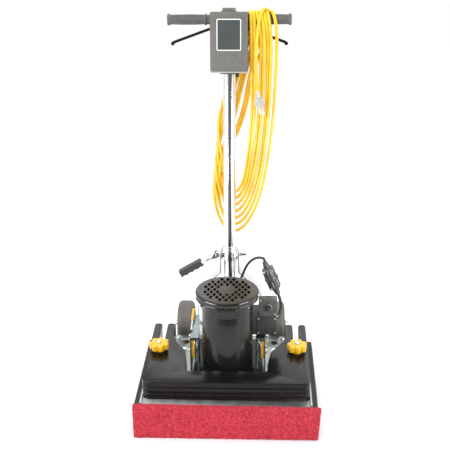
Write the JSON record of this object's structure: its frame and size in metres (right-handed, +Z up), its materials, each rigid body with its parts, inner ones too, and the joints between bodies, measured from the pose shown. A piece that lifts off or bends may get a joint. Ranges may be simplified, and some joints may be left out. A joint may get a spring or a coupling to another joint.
{
  "type": "orbital floor machine",
  "caption": "Orbital floor machine: rectangular pad driven by an eccentric under an upright motor, slide-on weights, tilting handle with triggers, and transport wheels.",
  "frame": {"origin": "on the floor, at the middle of the pad's underside, under the motor shaft", "axes": "+Z up, +Y from the splash strip at the front towards the operator's handle, +X to the right seen from the front"},
  "size_m": [0.533, 0.578, 1.1474],
  "materials": {
    "red_fibre": "mottled red non-woven fibre",
    "grey_steel": "satin grey steel plate",
    "black_rubber": "matt black rubber",
    "black_plate": "satin black painted steel",
    "black_gloss": "gloss black paint",
    "yellow_plastic": "bright yellow moulded plastic",
    "yellow_urethane": "yellow urethane",
    "yellow_cord": "yellow cord jacket",
    "zinc": "zinc-plated sheet steel",
    "chrome": "polished chrome plate",
    "steel": "machined steel",
    "laminated_steel": "laminated steel stack",
    "aluminium": "cast aluminium",
    "tyre_grey": "grey non-marking tyre",
    "grey_plastic": "textured dark grey plastic",
    "clear_plastic": "clear moulded plug",
    "red_plastic": "red moulded plastic"
  },
  "bodies": {
    "chassis": {"deck_plate": "grey_steel", "side_skirt_left": "black_rubber", "side_skirt_right": "black_rubber", "splash_strip": "red_fibre", "isolator_front_left": "black_rubber", "isolator_front_right": "black_rubber", "isolator_rear_left": "black_rubber", "isolator_rear_right": "black_rubber", "clamp_stud_left": "chrome", "clamp_stud_right": "chrome", "motor_flange": "black_gloss", "motor_housing": "black_gloss", "motor_top_bell": "black_gloss", "fan_cover": "black_gloss", "stator_core": "laminated_steel", "motor_bearing_lower": "steel", "motor_bearing_upper": "steel", "junction_box": "black_rubber", "yoke_bracket_left": "zinc", "yoke_bracket_right": "zinc", "yoke_damper_left": "yellow_urethane", "yoke_damper_right": "yellow_urethane", "yoke_cheek_left": "zinc", "yoke_cheek_right": "zinc", "wheel_axle": "steel", "pivot_rod": "chrome", "motor_cable": "black_rubber", "cable_connector": "black_rubber", "handle_cable": "black_rubber"},
    "motor_rotor": {"motor_shaft": "steel", "rotor_core": "laminated_steel", "cooling_fan": "black_rubber", "eccentric_hub": "steel"},
    "pad_driver": {"driver_bearing": "steel", "driver_plate": "aluminium", "floor_pad": "red_fibre"},
    "handle": {"handle_tube": "chrome", "handle_collar": "chrome", "switch_box": "grey_plastic", "switch_box_cover": "grey_plastic", "crossbar": "steel", "grip_left": "grey_plastic", "grip_right": "grey_plastic", "power_cord": "yellow_cord", "cord_plug": "clear_plastic"},
    "cam": {"cam_lever": "chrome", "cam_grip": "black_rubber"},
    "wheel_left": {"wheel_tyre_left": "tyre_grey", "wheel_hub_left": "grey_plastic"},
    "wheel_right": {"wheel_tyre_right": "tyre_grey", "wheel_hub_right": "grey_plastic"},
    "weight_1": {"weight_plate_1": "black_plate"},
    "weight_2": {"weight_plate_2": "black_plate"},
    "weight_3": {"weight_plate_3": "black_plate"},
    "knob_left": {"clamp_knob_left": "yellow_plastic"},
    "knob_right": {"clamp_knob_right": "yellow_plastic"},
    "lever_left": {"trigger_lever_left": "black_gloss"},
    "lever_right": {"trigger_lever_right": "black_gloss"},
    "lockout": {"lockout_button": "grey_plastic"},
    "reset": {"reset_button": "red_plastic"}
  },
  "joints": [
    {"name": "motor_spin", "type": "hinge", "parent": "chassis", "child": "motor_rotor", "pos_m": [0, 0, 0.2], "axis": [0, 0, 1], "continuous": true},
    {"name": "pad_orbit", "type": "hinge", "parent": "motor_rotor", "child": "pad_driver", "pos_m": [0, 0.003, 0.045], "axis": [0, 0, 1], "continuous": true},
    {"name": "handle_tilt", "type": "hinge", "parent": "chassis", "child": "handle", "pos_m": [0, 0.2185, 0.4], "axis": [-1, 0, 0], "range_deg": [-8.8, 46]},
    {"name": "cam_release", "type": "hinge", "parent": "chassis", "child": "cam", "pos_m": [-0.041, 0.2185, 0.4], "axis": [0, 1, 0], "range_deg": [0, 100]},
    {"name": "wheel_left_spin", "type": "hinge", "parent": "chassis", "child": "wheel_left", "pos_m": [-0.15, 0.308, 0.104], "axis": [1, 0, 0], "continuous": true},
    {"name": "wheel_right_spin", "type": "hinge", "parent": "chassis", "child": "wheel_right", "pos_m": [0.15, 0.308, 0.104], "axis": [1, 0, 0], "continuous": true},
    {"name": "weight_1_slide", "type": "slide", "parent": "chassis", "child": "weight_1", "axis": [0, -1, 0], "range_m": [0, 0.3]},
    {"name": "weight_2_slide", "type": "slide", "parent": "chassis", "child": "weight_2", "axis": [0, -1, 0], "range_m": [0, 0.3]},
    {"name": "weight_3_slide", "type": "slide", "parent": "chassis", "child": "weight_3", "axis": [0, -1, 0], "range_m": [0, 0.3]},
    {"name": "knob_left_turn", "type": "hinge", "parent": "chassis", "child": "knob_left", "pos_m": [-0.2095, 0.027, 0.18], "axis": [0, 0, 1], "continuous": true},
    {"name": "knob_right_turn", "type": "hinge", "parent": "chassis", "child": "knob_right", "pos_m": [0.2095, 0.027, 0.18], "axis": [0, 0, 1], "continuous": true},
    {"name": "lever_left_pull", "type": "hinge", "parent": "handle", "child": "lever_left", "pos_m": [-0.04, 0.32406, 1.08188], "axis": [0, 0.9882, -0.153], "range_deg": [0, 12], "stiffness_Nm_per_rad": 3, "springref_deg": -5.73},
    {"name": "lever_right_pull", "type": "hinge", "parent": "handle", "child": "lever_right", "pos_m": [0.04, 0.32406, 1.08188], "axis": [0, -0.9882, 0.153], "range_deg": [0, 12], "stiffness_Nm_per_rad": 3, "springref_deg": -5.73},
    {"name": "lockout_press", "type": "slide", "parent": "handle", "child": "lockout", "axis": [0, -0.153, -0.9882], "range_m": [0, 0.004], "stiffness_N_per_m": 400, "springref_m": -0.003},
    {"name": "reset_press", "type": "slide", "parent": "chassis", "child": "reset", "axis": [0, 1, 0], "range_m": [0, 0.003], "stiffness_N_per_m": 500, "springref_m": -0.002}
  ],
  "couplings": [
    {"joint": "pad_orbit", "follows": "motor_spin", "ratio": -1}
  ]
}
